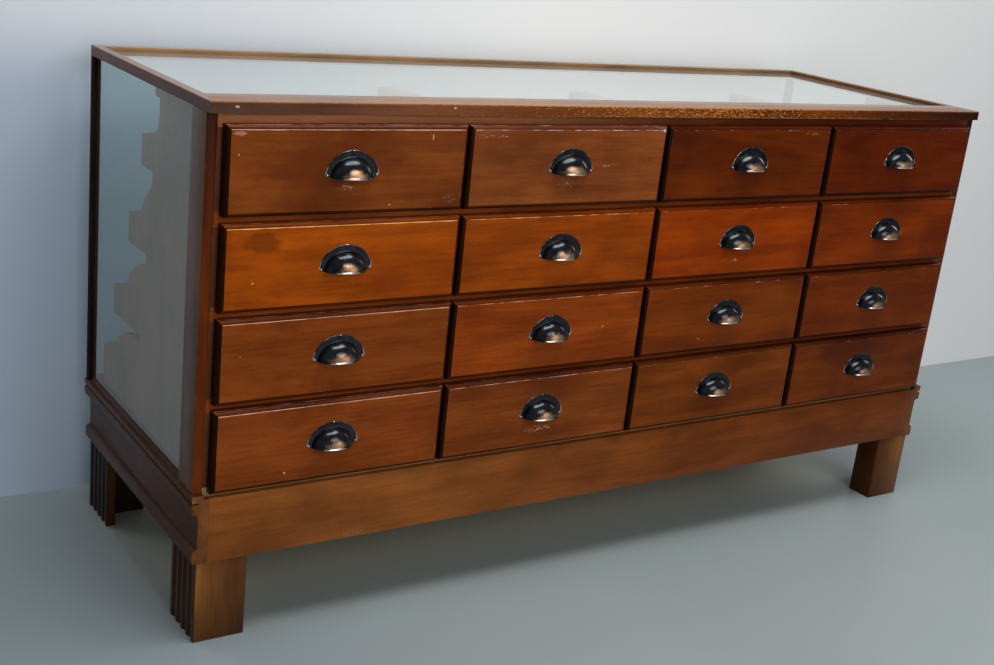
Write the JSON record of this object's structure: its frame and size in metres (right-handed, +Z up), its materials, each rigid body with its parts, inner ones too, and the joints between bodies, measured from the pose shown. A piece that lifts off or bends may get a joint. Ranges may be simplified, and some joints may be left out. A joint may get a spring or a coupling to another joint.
{
  "type": "haberdashery cabinet",
  "caption": "Counter-height haberdashery cabinet: a glazed case on short fluted legs, with rows of cup-pull drawers whose low stepped ends show through the glass.",
  "frame": {"origin": "on the floor under the middle of the whole cabinet, pulls included", "axes": "+X along the counter, to the right for someone who faces the drawers; +Y from the drawers to the glazed rear; +Z up"},
  "size_m": [1.806, 0.6228, 0.93],
  "materials": {
    "mahogany": "aged shellac polish, worn to paler wood along the arrises",
    "dark_mahogany": "dark aged polish, satin",
    "drawer_mahogany": "red-brown polish, rubbed and scratched, satin gloss",
    "panel_wood": "dull brown stain",
    "floor_wood": "dull unpolished board",
    "clear_glass": "clear flat glass with a faint green tint",
    "worn_bronze": "dark bronzed sheet, worn bright and coppery at the lip"
  },
  "bodies": {
    "case": {"top_frame": "mahogany", "rail_top": "mahogany", "rail_upper": "mahogany", "rail_lower": "mahogany", "rail_bottom": "mahogany", "plinth_front": "mahogany", "plinth_rear": "mahogany", "front_leg_left": "mahogany", "front_leg_right": "mahogany", "rear_leg_left": "mahogany", "rear_leg_right": "mahogany", "front_post_left": "dark_mahogany", "front_post_right": "dark_mahogany", "rear_post_left": "dark_mahogany", "rear_post_right": "dark_mahogany", "sill_frame": "dark_mahogany", "plinth_side_left": "dark_mahogany", "plinth_side_right": "dark_mahogany", "end_panel_left": "panel_wood", "end_panel_right": "panel_wood", "partition_left": "panel_wood", "partition_middle": "panel_wood", "partition_right": "panel_wood", "case_floor": "floor_wood", "top_glass": "clear_glass", "side_glass_left": "clear_glass", "side_glass_right": "clear_glass", "rear_glass": "clear_glass"},
    "top_drawer_1": {"drawer_top_1": "drawer_mahogany", "pull_top_1": "worn_bronze"},
    "top_drawer_2": {"drawer_top_2": "drawer_mahogany", "pull_top_2": "worn_bronze"},
    "top_drawer_3": {"drawer_top_3": "drawer_mahogany", "pull_top_3": "worn_bronze"},
    "top_drawer_4": {"drawer_top_4": "drawer_mahogany", "pull_top_4": "worn_bronze"},
    "upper_drawer_1": {"drawer_upper_1": "drawer_mahogany", "pull_upper_1": "worn_bronze"},
    "upper_drawer_2": {"drawer_upper_2": "drawer_mahogany", "pull_upper_2": "worn_bronze"},
    "upper_drawer_3": {"drawer_upper_3": "drawer_mahogany", "pull_upper_3": "worn_bronze"},
    "upper_drawer_4": {"drawer_upper_4": "drawer_mahogany", "pull_upper_4": "worn_bronze"},
    "lower_drawer_1": {"drawer_lower_1": "drawer_mahogany", "pull_lower_1": "worn_bronze"},
    "lower_drawer_2": {"drawer_lower_2": "drawer_mahogany", "pull_lower_2": "worn_bronze"},
    "lower_drawer_3": {"drawer_lower_3": "drawer_mahogany", "pull_lower_3": "worn_bronze"},
    "lower_drawer_4": {"drawer_lower_4": "drawer_mahogany", "pull_lower_4": "worn_bronze"},
    "bottom_drawer_1": {"drawer_bottom_1": "drawer_mahogany", "pull_bottom_1": "worn_bronze"},
    "bottom_drawer_2": {"drawer_bottom_2": "drawer_mahogany", "pull_bottom_2": "worn_bronze"},
    "bottom_drawer_3": {"drawer_bottom_3": "drawer_mahogany", "pull_bottom_3": "worn_bronze"},
    "bottom_drawer_4": {"drawer_bottom_4": "drawer_mahogany", "pull_bottom_4": "worn_bronze"}
  },
  "joints": [
    {"name": "slide_top_1", "type": "slide", "parent": "case", "child": "top_drawer_1", "axis": [0, -1, 0], "range_m": [0, 0.25]},
    {"name": "slide_top_2", "type": "slide", "parent": "case", "child": "top_drawer_2", "axis": [0, -1, 0], "range_m": [0, 0.25]},
    {"name": "slide_top_3", "type": "slide", "parent": "case", "child": "top_drawer_3", "axis": [0, -1, 0], "range_m": [0, 0.25]},
    {"name": "slide_top_4", "type": "slide", "parent": "case", "child": "top_drawer_4", "axis": [0, -1, 0], "range_m": [0, 0.25]},
    {"name": "slide_upper_1", "type": "slide", "parent": "case", "child": "upper_drawer_1", "axis": [0, -1, 0], "range_m": [0, 0.3]},
    {"name": "slide_upper_2", "type": "slide", "parent": "case", "child": "upper_drawer_2", "axis": [0, -1, 0], "range_m": [0, 0.3]},
    {"name": "slide_upper_3", "type": "slide", "parent": "case", "child": "upper_drawer_3", "axis": [0, -1, 0], "range_m": [0, 0.3]},
    {"name": "slide_upper_4", "type": "slide", "parent": "case", "child": "upper_drawer_4", "axis": [0, -1, 0], "range_m": [0, 0.3]},
    {"name": "slide_lower_1", "type": "slide", "parent": "case", "child": "lower_drawer_1", "axis": [0, -1, 0], "range_m": [0, 0.36]},
    {"name": "slide_lower_2", "type": "slide", "parent": "case", "child": "lower_drawer_2", "axis": [0, -1, 0], "range_m": [0, 0.36]},
    {"name": "slide_lower_3", "type": "slide", "parent": "case", "child": "lower_drawer_3", "axis": [0, -1, 0], "range_m": [0, 0.36]},
    {"name": "slide_lower_4", "type": "slide", "parent": "case", "child": "lower_drawer_4", "axis": [0, -1, 0], "range_m": [0, 0.36]},
    {"name": "slide_bottom_1", "type": "slide", "parent": "case", "child": "bottom_drawer_1", "axis": [0, -1, 0], "range_m": [0, 0.41]},
    {"name": "slide_bottom_2", "type": "slide", "parent": "case", "child": "bottom_drawer_2", "axis": [0, -1, 0], "range_m": [0, 0.41]},
    {"name": "slide_bottom_3", "type": "slide", "parent": "case", "child": "bottom_drawer_3", "axis": [0, -1, 0], "range_m": [0, 0.41]},
    {"name": "slide_bottom_4", "type": "slide", "parent": "case", "child": "bottom_drawer_4", "axis": [0, -1, 0], "range_m": [0, 0.41]}
  ]
}
